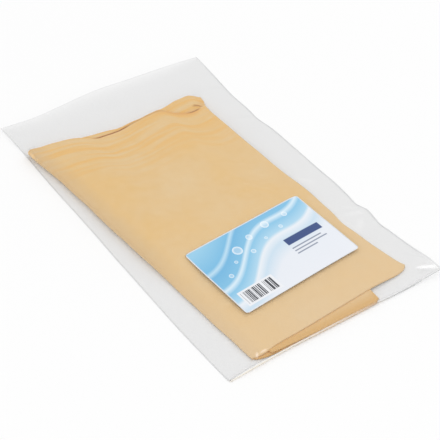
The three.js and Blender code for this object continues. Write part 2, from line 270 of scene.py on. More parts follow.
def plain(value):
    """A hex colour as linear values, and anything else as it is."""
    return linear(value) if isinstance(value, str) else value


def setting(name, description, default, unit="LENGTH"):
    """A number that a user can change."""
    return bpy.props.FloatProperty(name=name, description=description, default=default, unit=unit)


def colour_setting(name, description, code):
    """A colour that a user can change."""
    return bpy.props.FloatVectorProperty(
        name=name, description=description, default=linear(code), subtype="COLOR", size=4
    )


class SkinSettings(bpy.types.PropertyGroup):
    """Sizes and colour of the chamois leather."""

    thickness: setting("Thickness", "Thickness of the skin", 0.7 * MM)
    layer_gap: setting("Layer gap", "Air between two layers of the folded skin", 0.2 * MM)
    flat_width: setting("Flat width", "Width of the skin laid flat", 0.4)
    flat_length: setting("Flat length", "Length of the skin laid flat", 0.35)
    flat_area: setting("Flat area", "Area of the skin laid flat, which tapers", 0.126, "AREA")
    colour: colour_setting("Colour", "Main colour of the skin", "#f3cf96")


class BagSettings(bpy.types.PropertyGroup):
    """Sizes and colour of the bag."""

    film_thickness: setting("Film thickness", "Thickness of one film", 0.08 * MM)
    weld_width: setting("Weld width", "Width of a side weld", 0.8 * MM)
    fold_depth: setting("Fold depth", "How deep the bottom fold is", 1.3 * MM)
    colour: colour_setting("Colour", "Colour of the front film's haze", "#5a5c5e")
    sag: setting("Sag", "How far each point of the film sinks below its neighbours' mean", 0.0015 * MM)


class LabelSettings(bpy.types.PropertyGroup):
    """Sizes and colour of the label."""

    width: setting("Width", "Width of the label", 0.1)
    height: setting("Height", "Height of the label", 0.062)
    corner: setting("Corner", "Radius of the label's corners", 2.0 * MM)
    turn: setting("Turn", "How far the label is turned", math.radians(3.4), "ROTATION")
    thickness: setting("Thickness", "Thickness of the label", 0.08 * MM)
    colour: colour_setting("Colour", "Colour of the label's paper", "#e8eaef")


# The camera's place in millimetres, its turn in degrees and its lens; the lamps' places and sides in metres
CAMERA_PLACE = (-387.2, -452.3, 540.3)
CAMERA_TURN = (46.552, -4.582, -36.969)
CAMERA_LENS, CAMERA_SENSOR = 95.17, 36.0
KEY_PLACE, FILL_PLACE = (2.5, 0.9, 2.3), (-2.3, -1.6, 2.0)
LAMP_SIDE = 3.2
FLOOR_DROP = 0.1 * MM


class StageSettings(bpy.types.PropertyGroup):
    """The floor, the light and the camera."""

    key_power: setting("Key light", "Power of the main lamp in watts", 22.0, "POWER")
    fill_power: setting("Fill light", "Power of the lamp on the near left in watts", 24.0, "POWER")
    sky_level: setting("Sky level", "Brightness of the even light all round", 0.84, "NONE")
    floor_size: setting("Floor size", "Side of the square floor", 6.0)
    floor_colour: colour_setting("Floor colour", "Colour of the floor", "#fbfbfb")


# Materials


def add_node(tree, kind, settings=None, inputs=None, stops=()):
    """Adds a node. Inputs that are nodes or sockets are linked, others are set, and stops fill a ramp."""
    # A node that is given as an input stands for the first of its outputs that is in use
    node = tree.nodes.new("ShaderNode" + kind)
    for name, value in (settings or {}).items():
        setattr(node, name, value)
    for name, value in (inputs or {}).items():
        if isinstance(value, bpy.types.Node):
            value = next(socket for socket in value.outputs if socket.enabled)
        if isinstance(value, bpy.types.NodeSocket):
            tree.links.new(value, node.inputs[name])
        else:
            node.inputs[name].default_value = plain(value)
    for number, (place, colour) in enumerate(stops):
        elements = node.color_ramp.elements
        element = elements[number] if number < len(elements) else elements.new(place)
        element.position = place
        element.color = plain(colour)
    return node


def new_material(name):
    """An empty material and its node tree."""
    material = bpy.data.materials.new(name)
    material.use_nodes = True
    material.node_tree.nodes.clear()
    return material, material.node_tree


def soft_line(tree, value, place, reach, core=0.0, strength=1.0):
    """A soft line across a value: full strength within its core, and nothing past its reach."""
    aside = add_node(tree, "Math", {"operation": "SUBTRACT"}, {0: value, 1: place})
    distance = add_node(tree, "Math", {"operation": "ABSOLUTE"}, {0: aside})
    steps = {"Value": distance, "From Min": reach, "From Max": core, "To Max": strength}
    return add_node(tree, "MapRange", inputs=steps)


# On the flat skin, in metres: the far turn, the middle of the roll's short crease and its slant, and where
# the lower panels start
FAR_TURN = 0.23333
ROLL_X, ROLL_Y, ROLL_SLANT = 0.2775, 0.2219, 0.19
LOWER_START = 0.138
# The sizes of the clouds, the mottle and the nap in millimetres, each with its detail. A real nap is about
# 0.1 mm, too fine to show, so it is drawn coarser.
GRAINS = ((50, 3.0), (7, 4.0), (1.2, 3.0))
# How long and how wide the streaks of oil are in millimetres
STREAK_LENGTH, STREAK_WIDTH = 71.43, 4.348
# The skin's colours over its mottle, and what share they have beside the clouds'
MOTTLE_COLOURS = ((0.3, "#f1c785"), (0.7, "#f6d49d"))
MOTTLE_SHARE = 0.3
# The tints along the two lengthwise folds: place and reach in metres, strength and colour
# The left fold's tint is painted shade where the round fold turns away from the light
FOLD_SHADE_AND_TINT = ((0.1375, 0.014, 0.6, "#dcbf98"), (0.271, 0.007, 0.4, "#efb56c"))
# How strong the far turn's tint and its crease's painted shade are, over ten times the place across the
# skin
TURN_TINT = ((0.04, "#000000"), (0.12, "#ffffff"), (0.26, "#ffffff"), (0.4, "#303030"))
TURN_CREASE_SHADE = (
    (0.04, "#000000"), (0.08, "#e8e8e8"), (0.145, "#e8e8e8"), (0.18, "#282828"), (0.27, "#282828"),
    (0.33, "#a8a8a8"), (0.6, "#b0b0b0"), (0.66, "#ffffff"), (0.88, "#ffffff"), (0.93, "#000000"),
)


def chamois_material(main_colour):
    """Oil-tanned chamois: a matt split with a soft nap, clouded where the oil took unevenly."""
    material, tree = new_material("oil_tanned_chamois")
    flat = add_node(tree, "UVMap", {"uv_map": "flat_skin"})
    x, y, _ = add_node(tree, "SeparateXYZ", inputs={0: flat}).outputs
    grains = []
    for size, detail in GRAINS:
        grain = {"Vector": flat, "Scale": 1 / (size * MM), "Detail": detail}
        grains.append(add_node(tree, "TexNoise", inputs=grain))
    clouds, mottle, nap = grains
    scale = (1 / (STREAK_LENGTH * MM), 1 / (STREAK_WIDTH * MM), 1)
    drawn = add_node(tree, "Mapping", inputs={"Vector": flat, "Scale": scale})
    streaks = add_node(tree, "TexNoise", inputs={"Vector": drawn, "Scale": 1.0, "Detail": 2.0})
    cloud_colours = ((0.35, "#f5cd8c"), (0.5, main_colour), (0.68, "#f3d4a3"))
    colour = add_node(tree, "ValToRGB", inputs={0: clouds}, stops=cloud_colours)
    fine = add_node(tree, "ValToRGB", inputs={0: mottle}, stops=MOTTLE_COLOURS)
    # Each layer is a strength and a colour, and lies over the ones before it. Orange streaks lie by the far
    # turn, and tints along the folds, the left fold's tint being painted shade where the round fold turns
    # away from the light.
    near_turn = add_node(tree, "MapRange", inputs={"Value": y, "From Min": 0.17, "From Max": 0.21})
    steps = {"Value": streaks, "From Min": 0.42, "From Max": 0.62, "To Max": near_turn}
    layers = [(MOTTLE_SHARE, fine), (add_node(tree, "MapRange", inputs=steps), "#f7c77c")]
    for place, reach, strength, code in FOLD_SHADE_AND_TINT:
        layers.append((soft_line(tree, x, place, reach, strength=strength), code))
    across = add_node(tree, "Math", {"operation": "MULTIPLY"}, {0: x, 1: 10.0})
    strength = add_node(tree, "ValToRGB", inputs={0: across}, stops=TURN_TINT)
    layers.append((soft_line(tree, y, FAR_TURN, 0.0045, strength=strength), "#efb56c"))
    # The thin skin at the near end took less oil
    steps = {"Value": y, "From Min": 0.11, "From Max": 0.01, "To Max": 0.42}
    layers.append((add_node(tree, "MapRange", inputs=steps), "#f4d9b4"))
    # Painted shade darkens the turn's crease where it shows, and a short slanted crease in the roll
    crease_shade_strength = add_node(tree, "ValToRGB", inputs={0: across}, stops=TURN_CREASE_SHADE)
    crease = soft_line(tree, y, FAR_TURN, 0.0008, 0.0002)
    turn_crease_shade = add_node(tree, "Math", {"operation": "MULTIPLY"}, {0: crease, 1: crease_shade_strength})
    slanted = add_node(tree, "Math", {"operation": "MULTIPLY_ADD"}, {0: x, 1: ROLL_SLANT, 2: y})
    line = soft_line(tree, slanted, ROLL_Y + ROLL_X * ROLL_SLANT, 0.0012, 0.0004, 0.6)
    roll_crease_shade = soft_line(tree, x, ROLL_X, 0.004, 0.001, line)
    layers += [(turn_crease_shade, "#a04e12"), (roll_crease_shade, "#a04e12")]
    # Painted shade darkens the lower panels by their hem
    lower = add_node(tree, "Math", {"operation": "GREATER_THAN"}, {0: x, 1: LOWER_START})
    steps = {"Value": y, "From Min": 0.012, "From Max": 0.003, "To Max": lower}
    layers.append((add_node(tree, "MapRange", inputs=steps), "#e9bd7e"))
    # Each cut edge is brown, partly its own colour and partly painted shade between the layers
    steps = {"Value": y, "From Min": 0.0008, "From Max": 0.0002, "To Max": 0.2}
    layers.append((add_node(tree, "MapRange", inputs=steps), "#b98a55"))
    for strength, over in layers:
        colour = add_node(tree, "Mix", {"data_type": "RGBA"}, {0: strength, 6: colour, 7: over})
    relief = add_node(tree, "Math", {"operation": "MULTIPLY_ADD"}, {0: mottle, 1: 1.6, 2: nap})
    bump = add_node(tree, "Bump", inputs={"Height": relief, "Strength": 0.35, "Distance": 0.2 * MM})
    shader = add_node(tree, "BsdfPrincipled", inputs={
        "Base Color": colour, "Roughness": 0.92, "Specular IOR Level": 0.2, "Sheen Weight": 0.2,
        "Sheen Roughness": 0.6, "Normal": bump,
    })
    add_node(tree, "OutputMaterial", inputs={"Surface": shader})
    return material


# The gloss that every film has
FILM_GLOSS = {"Roughness": 0.15, "Specular IOR Level": 1.0}


def film_material(name, colour, cover, edge_cover):
    """Blown polyethylene film: clear and glossy, a little hazy where seen edge-on, with a painted white
    highlight where creased.
    """
    material, tree = new_material(name)
    facing = add_node(tree, "LayerWeight", inputs={"Blend": 0.5}).outputs["Facing"]
    grazing = add_node(tree, "Math", {"operation": "POWER"}, {0: facing, 1: 4.0})
    clamped = {"operation": "MULTIPLY_ADD", "use_clamp": True}
    haze = add_node(tree, "Math", clamped, {0: grazing, 1: edge_cover, 2: cover})
    # The crease attribute carries painted highlights, which make the film white and denser there
    crease = add_node(tree, "Attribute", {"attribute_name": "crease"}).outputs["Fac"]
    white = add_node(tree, "Math", {"operation": "MULTIPLY", "use_clamp": True}, {0: crease, 1: 8.0})
    highlighted = add_node(tree, "Math", {"operation": "MAXIMUM"}, {0: haze, 1: crease})
    # The film weakens the light that falls through it much less than the view
    shadow = add_node(tree, "LightPath").outputs["Is Shadow Ray"]
    passed = add_node(tree, "Math", {"operation": "MULTIPLY_ADD"}, {0: shadow, 1: -0.85, 2: 1.0})
    alpha = add_node(tree, "Math", {"operation": "MULTIPLY"}, {0: highlighted, 1: passed})
    colour = add_node(tree, "Mix", {"data_type": "RGBA"}, {0: white, 6: colour, 7: "#ffffff"})
    gloss = {"Base Color": colour, "Alpha": alpha, **FILM_GLOSS}
    shader = add_node(tree, "BsdfPrincipled", inputs=gloss)
    add_node(tree, "OutputMaterial", inputs={"Surface": shader})
    return material


# Round the bottom fold, from its foot to its top: its colour, how dense its foot is, and its brow
# The white of the brow is a painted highlight, and the grey line at the top is painted shade
ROUND_COLOURS = ((0.0, "#ece2d2"), (0.5, "#f4e8d6"), (0.6, "#fff8ea"), (0.86, "#ffffff"), (0.94, "#7e8082"))
ROUND_FOOT = ((0.0, "#8c8c8c"), (0.5, "#9c9c9c"), (0.62, "#404040"), (0.86, "#404040"), (1.0, "#707070"))
ROUND_BROW_HIGHLIGHT = ((0.52, "#000000"), (0.6, "#d6d6d6"), (0.77, "#d6d6d6"), (0.85, "#000000"))
# Along the bottom fold, from left to right: how bright its brow's painted highlight is, and how grey the
# fold
ALONG_BROW_HIGHLIGHT = ((0.2, "#ffffff"), (0.36, "#e4e4e4"), (0.5, "#bcbcbc"), (0.7, "#404040"))
ALONG_GREY = ((0.6, "#000000"), (0.75, "#ffffff"))


def fold_material():
    """Film bent double: a painted grey shade line at its top, a painted white highlight on its brow that
    fades to the right, and a pale foot.
    """
    material, tree = new_material("folded_polyethylene")
    face = add_node(tree, "UVMap", {"uv_map": "fold_round"})
    along, share, _ = add_node(tree, "SeparateXYZ", inputs={0: face}).outputs
    ramps = []
    for value, stops in (
        (share, ROUND_COLOURS), (along, ALONG_GREY), (share, ROUND_BROW_HIGHLIGHT), (along, ALONG_BROW_HIGHLIGHT),
        (share, ROUND_FOOT),
    ):
        ramps.append(add_node(tree, "ValToRGB", inputs={0: value}, stops=stops))
    colour, grey, brow_highlight, bright, foot = ramps
    fading = add_node(tree, "Math", {"operation": "MULTIPLY"}, {0: brow_highlight, 1: bright})
    alpha = add_node(tree, "Math", {"operation": "ADD", "use_clamp": True}, {0: fading, 1: foot})
    colour = add_node(tree, "Mix", {"data_type": "RGBA"}, {0: grey, 6: colour, 7: "#dadbdc"})
    gloss = {"Base Color": colour, "Alpha": alpha, **FILM_GLOSS}
    shader = add_node(tree, "BsdfPrincipled", inputs=gloss)
    add_node(tree, "OutputMaterial", inputs={"Surface": shader})
    return material


# The label's print, in widths of the label from its near-left corner: bubbles as (x, y, radius), and boxes
# as (low x, low y, high x, high y), the bars' with a colour
BUBBLES = (
    (0.31, 0.45, 0.036), (0.395, 0.385, 0.018), (0.235, 0.375, 0.013), (0.455, 0.50, 0.024),
    (0.545, 0.43, 0.012), (0.62, 0.53, 0.030), (0.70, 0.455, 0.015), (0.80, 0.53, 0.020),
    (0.13, 0.30, 0.017),
)
BARS = (
    (0.62, 0.285, 0.93, 0.345, "#27457f"),
    (0.62, 0.245, 0.88, 0.255, "#8a93a6"),
    (0.62, 0.218, 0.91, 0.228, "#8a93a6"),
    (0.62, 0.191, 0.80, 0.201, "#8a93a6"),
)
STRIPES = (0.07, 0.05, 0.33, 0.15)
STRIPE_WIDTH = 0.0036
STRIPE_MARGIN = 0.015
PRINT_AREA = (0.008, 0.008, 0.992, 0.612)
PRINT_BLUR = 0.002
PRINT_WAVES = (
    (0.0, "#e9ebf1"), (0.36, "#e6eaf1"), (0.46, "#cadeed"), (0.52, "#e8edf3"), (0.545, "#acd5ec"),
    (0.62, "#88c4e5"), (0.655, "#d8ebf6"), (0.68, "#80bfe2"), (0.78, "#70b5de"), (0.81, "#bbddf0"),
    (0.835, "#78bbe1"), (1.0, "#97cce8"),
)


def label_material(paper):
    """Coated label paper with a satin face, printed with waves, bubbles, plain bars and stripes."""
    material, tree = new_material("printed_label_paper")
    face = add_node(tree, "UVMap", {"uv_map": "label_face"})
    x, y, _ = add_node(tree, "SeparateXYZ", inputs={0: face}).outputs

    def box(low_x, low_y, high_x, high_y, margin=0.0):
        """1 inside a box and 0 outside it, with a soft edge."""
        sides = []
        for value, low, high in ((x, low_x, high_x), (y, low_y, high_y)):
            edge = (high - low) / 2 + margin
            sides.append(soft_line(tree, value, (low + high) / 2, edge + PRINT_BLUR, edge - PRINT_BLUR))
        return add_node(tree, "Math", {"operation": "MULTIPLY"}, dict(enumerate(sides)))

    swing = add_node(tree, "Math", {"operation": "MULTIPLY_ADD"}, {0: x, 1: 8.0, 2: 0.6})
    wave = add_node(tree, "Math", {"operation": "SINE"}, {0: swing})
    rise = add_node(tree, "Math", {"operation": "MULTIPLY_ADD"}, {0: wave, 1: 0.055, 2: y})
    level = add_node(tree, "Math", {"operation": "MULTIPLY_ADD"}, {0: x, 1: -0.42, 2: rise})
    place = add_node(tree, "Math", {"operation": "MULTIPLY_ADD"}, {0: level, 1: 0.94, 2: 0.42})
    colour = add_node(tree, "ValToRGB", inputs={0: place}, stops=PRINT_WAVES)
    # Each layer is a strength and a colour, and lies over the ones before it
    layers = []
    for centre_x, centre_y, radius in BUBBLES:
        points = {0: face, 1: (centre_x, centre_y, 0)}
        out = add_node(tree, "VectorMath", {"operation": "DISTANCE"}, points).outputs["Value"]
        steps = {"From Min": radius, "From Max": radius * 0.55, "To Min": 0.85, "To Max": 0.25}
        ring = add_node(tree, "MapRange", inputs={"Value": out, **steps})
        disc = add_node(tree, "Math", {"operation": "LESS_THAN"}, {0: out, 1: radius})
        bubble = add_node(tree, "Math", {"operation": "MULTIPLY"}, {0: ring, 1: disc})
        layers.append((bubble, "#f7fbfe"))
    for *corners, code in BARS:
        layers.append((box(*corners), code))
    layers.append((box(*STRIPES, margin=STRIPE_MARGIN), "#eceef2"))
    stripe = add_node(tree, "Math", {"operation": "SNAP"}, {0: x, 1: STRIPE_WIDTH})
    chance = add_node(tree, "TexWhiteNoise", {"noise_dimensions": "1D"}, {"W": stripe}).outputs["Value"]
    dark = add_node(tree, "Math", {"operation": "LESS_THAN"}, {0: chance, 1: 0.5})
    stripes = add_node(tree, "Math", {"operation": "MULTIPLY"}, {0: dark, 1: box(*STRIPES)})
    layers.append((stripes, "#3c3f46"))
    for strength, over in layers:
        colour = add_node(tree, "Mix", {"data_type": "RGBA"}, {0: strength, 6: colour, 7: over})
    # The paper is left plain round the print
    colour = add_node(tree, "Mix", {"data_type": "RGBA"}, {0: box(*PRINT_AREA), 6: paper, 7: colour})
    satin = {"Base Color": colour, "Roughness": 0.35, "Specular IOR Level": 0.4}
    shader = add_node(tree, "BsdfPrincipled", inputs=satin)
    add_node(tree, "OutputMaterial", inputs={"Surface": shader})
    return material


def floor_material(colour):
    """Matt white studio paper."""
    material, tree = new_material("white_studio_paper")
    matt = {"Base Color": colour, "Roughness": 1.0, "Specular IOR Level": 0.0}
    shader = add_node(tree, "BsdfPrincipled", inputs=matt)
    add_node(tree, "OutputMaterial", inputs={"Surface": shader})
    return material


# Shapes


def grid_piece(name, u, v, z, uv=None, crease=None):
    """A smooth sheet: a grid whose vertices are moved to the places in u, v and z, in millimetres."""
    rows, columns = u.shape[0] - 1, u.shape[1] - 1
    places = np.stack([u * MM + CAD_LOW.x, v * MM + CAD_LOW.y, z * MM], axis=-1)
    bm = bmesh.new()
    bmesh.ops.create_grid(bm, x_segments=columns, y_segments=rows, size=0.5)
    creased = bm.verts.layers.float.new("crease") if crease is not None else None
    spots = {}
    for vert in bm.verts:
        spots[vert] = (round((vert.co.y + 0.5) * rows), round((vert.co.x + 0.5) * columns))
    if uv is not None:
        layer = bm.loops.layers.uv.new(uv[0])
        for face in bm.faces:
            for loop in face.loops:
                spot = spots[loop.vert]
                loop[layer].uv = (uv[1][spot], uv[2][spot])
    for vert, spot in spots.items():
        vert.co = places[spot]
        if creased:
            vert[creased] = crease[spot]
    for face in bm.faces:
        face.smooth = True
    mesh = bpy.data.meshes.new(name)
    bm.to_mesh(mesh)
    bm.free()
    piece = bpy.data.objects.new(name, mesh)
    bpy.context.collection.objects.link(piece)
    return piece


def thicken(piece, thickness):
    """Gives a sheet its thickness, half of it on each side."""
    wall = piece.modifiers.new("thickness", "SOLIDIFY")
    wall.thickness = thickness
    wall.offset = 0
    wall.use_even_offset = True


def patch(left, right, hem, ridge, across, along):
    """Points of the four-sided patch between a left, a right, a near and a far curve."""
    left_v, right_v = mix(left.start, left.end, along), mix(right.start, right.end, along)
    hem_u = mix(left(left.start), right(right.start), across)
    ridge_u = mix(left(left.end), right(right.end), across)
    hem_ends = hem(left(left.start)), hem(right(right.start))
    ridge_ends = ridge(left(left.end)), ridge(right(right.end))
    u = mix(left(left_v), right(right_v), across)
    v = mix(left_v, right_v, across)
    hem_swing = hem(hem_u) - mix(*hem_ends, across)
    ridge_swing = ridge(ridge_u) - mix(*ridge_ends, across)
    return u, v + (1 - along) * hem_swing + along * ridge_swing


def stack_rise(v):
    """How far the stack has risen from three layers to six."""
    return smooth(v, STEP_START, STEP_END)


class FoldedSkin:
    """The skin as one sheet: its far end is turned in first, and then it is folded in thirds."""

    # Grid columns across the top panel, the left turn, the middle panel, the right turn and the inner panel
    COLUMNS = (96, 12, 56, 12, 48)
    # How much of the skin's width each of them takes
    WIDTHS = (0.336, 0.016, 0.318, 0.014, 0.316)
    # Grid rows of the length up to the ridge, round the turn and down the turned-in end
    ROWS = (136, 10, 40)
    # How far up the folded length the turned-in end reaches down again
    TURN_SHARE = 0.5
    # Its soft waves: height, length and seed
    WAVES = ((0.22, 30, 3), (0.08, 11, 4))
    # The fine lines by the far ridge: height and length
    LINE_HEIGHT, LINE_LENGTH = 0.06, 2.8
    # The puckers round the near left corner: height, length, seed, and the corner's (u, v)
    PUCKERS = (0.35, 4.5, 6)
    PUCKERED = (22, 8)
    # How far the top panel's hem bends down, how far in that reaches, and how much of the waves is left
    # where the panel has sunk
    HEM_DROP, HEM_REACH = 0.2, 9
    FLOOR_WAVES = 0.3
    # What stands up behind the top panel's ridge: the roll, the pressed layers, and the notch in the roll
    ROLL_HEIGHT, PRESSED_HEIGHT = 1.5, 1.1
    NOTCH_DEPTH, NOTCH_WIDTH = 1.0, 0.6

    def __init__(self, settings, bag):
        self.thickness = settings.thickness / MM
        self.pitch = self.thickness + settings.layer_gap / MM
        self.base = bag.film_thickness / MM + SKIN_GAP + self.thickness / 2
        self.width = settings.flat_width
        self.length = settings.flat_length
        self.left_fold = LEFT_SIDE.shifted(lambda v: self.fold_radius(self.top_level(21, v)))
        self.right_fold = LOW_RIGHT.shifted(lambda v: -self.fold_radius(self.inner_level(v)))

    def fold_radius(self, levels):
        """The outer radius of a fold round some layers."""
        return self.pitch * levels / 2 + self.thickness / 2

    def top_level(self, u, v):
        """Layers under the top panel."""
        near = 1 + smooth(u - INNER_LEFT(v), -12, 14)
        return mix(near, 5, stack_rise(v))

    def inner_level(self, v):
        """Layers under the inner panel."""
        return 1 + 2 * stack_rise(v)

    def overhang(self, u, v):
        """How far the top panel has sunk to the floor, past the right fold of the layers under it."""
        spread = np.maximum(TOP_RIGHT(v) - LOW_RIGHT(v) + 3, 10)
        return smooth(u - LOW_RIGHT(v), -3, spread) * (1 - smooth(v, 70, 190))

    def ripples(self, u, v):
        """The skin's soft unevenness, in millimetres above its flat height."""
        waves = sum(height * unevenness(u, v, length, seed) for height, length, seed in self.WAVES)
        reach = TOP_RIDGE(u) - v
        near_ridge = smooth(reach, 0, 8) * (1 - smooth(reach, 30, 62)) * (1 - smooth(u, 90, 135))
        bend = 3.0 * unevenness(u, v, 45, 5)
        lines = self.LINE_HEIGHT * near_ridge * np.sin(reach / self.LINE_LENGTH + bend)
        height, length, seed = self.PUCKERS
        away = np.hypot(u - self.PUCKERED[0], v - self.PUCKERED[1])
        corner = (1 - smooth(away, 6, 24)) * height * unevenness(u, v, length, seed)
        return waves + lines + corner

    def lift(self, u, v):
        """How far the layers that poke out past the top panel's ridge stand up behind it."""
        past = v - TOP_RIDGE(u)
        roll = self.ROLL_HEIGHT * smooth(u, 106, 122) * smooth(past, 0.8, 3.6)
        pressed = self.PRESSED_HEIGHT * (1 - smooth(u, 104, 112)) * smooth(past, 0.75, 1.9)
        notch_line = mix(220.3, 222.0, (u - 131) / 9)
        notch = smooth(u, 129, 134) * np.exp(-(((v - notch_line) / self.NOTCH_WIDTH) ** 2))
        return roll + pressed - self.NOTCH_DEPTH * notch * smooth(past, 0.8, 2.0)

    def height(self, level, u, v, turned_in, flip):
        """The height of a panel's middle surface."""
        z = self.base + level * self.pitch + flip * turned_in
        return z + (z - self.base) / (self.pitch * 4) * self.ripples(u, v)

    def top(self, u, v, turned_in=0.0):
        """The height of the top panel."""
        z = self.height(self.top_level(u, v), u, v, turned_in, -1)
        z = z - self.HEM_DROP * (1 - smooth(v - TOP_HEM(u), 0, self.HEM_REACH))
        sunk = self.base + self.FLOOR_WAVES * self.ripples(u, v)
        return mix(z, sunk, self.overhang(u, v)) + corner_curl(u, v)

    def middle(self, u, v, turned_in=0.0):
        """The height of the middle panel, which lies lowest."""
        return self.height(0.0, u, v, turned_in, 1) + corner_curl(u, v)

    def inner(self, u, v, turned_in=0.0):
        """The height of the inner panel."""
        z = self.height(self.inner_level(v), u, v, turned_in, -1)
        return z + self.lift(u, v) + corner_curl(u, v)

    def rows(self):
        """How far each grid row is up the folded length, and how far round the far turn."""
        base, turn, end = self.ROWS
        share = np.linspace(0, 1, base + 1)
        # Rows lie closest at the hem and at the ridge, where the detail is
        up = mix(share, 0.5 - 0.5 * np.cos(math.pi * share), 0.72)
        angles = np.linspace(0, math.pi, turn + 1)[1:]
        down = np.linspace(1, self.TURN_SHARE, end + 1)[1:]
        along = np.concatenate([up, np.ones(turn), down])
        turned = np.concatenate([np.zeros(base + 1), angles, np.full(end, math.pi)])
        return along[:, None], turned[:, None]

    def bend(self, u, upper, lower, angle, way):
        """A round fold between an upper and a lower panel edge."""
        radius = (upper - lower) / 2
        return u + way * radius * np.sin(angle), lower + radius * (1 + np.cos(angle))

    def surface(self):
        """The skin's middle surface as grids of u, v, z and the place on the flat skin, in metres."""
        top, left_turn, middle, right_turn, inner = self.COLUMNS
        along, turned = self.rows()
        turned_in = self.pitch * (1 - np.cos(turned)) / 2
        bulge = self.pitch * np.sin(turned) / 2
        folded = self.length * 2 / 3
        flat_v = np.where(turned > 0, folded * (2 - along), folded * along)
        starts = np.cumsum((0.0, *self.WIDTHS)) * self.width
        blocks = []

        def add_block(number, share, u, v, z):
            flat_u = mix(starts[number], starts[number + 1], share)
            blocks.append([values + 0 * u for values in (u, v + bulge, z, flat_u, flat_v)])

        # The top panel starts at its free edge on the right, where its columns are closest
        share = np.linspace(0, 1, top + 1)[None, :]
        share = mix(share, 1 - np.cos(share * math.pi / 2), 0.5)
        u, v = patch(self.left_fold, TOP_RIGHT, TOP_HEM, TOP_RIDGE, 1 - share, along)
        add_block(0, share, u, v, self.top(u, v, turned_in))

        edge_u, edge_v = u[:, -1:], v[:, -1:]
        share = np.linspace(0, 1, left_turn + 1)[None, 1:-1]
        upper, lower = self.top(edge_u, edge_v, turned_in), self.middle(edge_u, edge_v, turned_in)
        u, z = self.bend(edge_u, upper, lower, math.pi * share, -1)
        add_block(1, share, u, edge_v, z)

        share = np.linspace(0, 1, middle + 1)[None, :]
        u, v = patch(self.left_fold, self.right_fold, LOW_HEM, LOW_RIDGE, share, along)
        add_block(2, share, u, v, self.middle(u, v, turned_in))

        edge_u, edge_v = u[:, -1:], v[:, -1:]
        share = np.linspace(0, 1, right_turn + 1)[None, 1:-1]
        upper, lower = self.inner(edge_u, edge_v, turned_in), self.middle(edge_u, edge_v, turned_in)
        u, z = self.bend(edge_u, upper, lower, math.pi * (1 - share), 1)
        add_block(3, share, u, edge_v, z)

        share = np.linspace(0, 1, inner + 1)[None, :]
        u, v = patch(INNER_LEFT, self.right_fold, INNER_HEM, LOW_RIDGE, 1 - share, along)
        add_block(4, share, u, v, self.inner(u, v, turned_in))
        return [np.concatenate(parts, axis=1) for parts in zip(*blocks)]


def sheet_finish(piece, material, node):
    """Gives a piece its material, and hides the model's part that it stands for."""
    piece.data.materials.append(material)
    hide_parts(node)


def bag_finish(piece, material, node):
    """Finishes a piece of the bag, and hangs it on the bag's body with a mesh of its own."""
    sheet_finish(piece, material, node)
    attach(piece, "bag")
    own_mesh(piece)


class CHAMOIS_OT_skin(bpy.types.Operator):
    """Model the folded chamois leather"""

    bl_idname = "chamois.skin"
    bl_label = "Chamois leather"

    def execute(self, context):
        settings = context.scene.chamois_skin
        skin = FoldedSkin(settings, context.scene.chamois_bag)
        u, v, z, flat_u, flat_v = skin.surface()
        piece = grid_piece("folded_chamois", u, v, z, ("flat_skin", flat_u, flat_v))
        thicken(piece, settings.thickness)
        sheet_finish(piece, chamois_material(settings.colour), "chamois_leather")
        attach(piece, "leather")
        return {"FINISHED"}


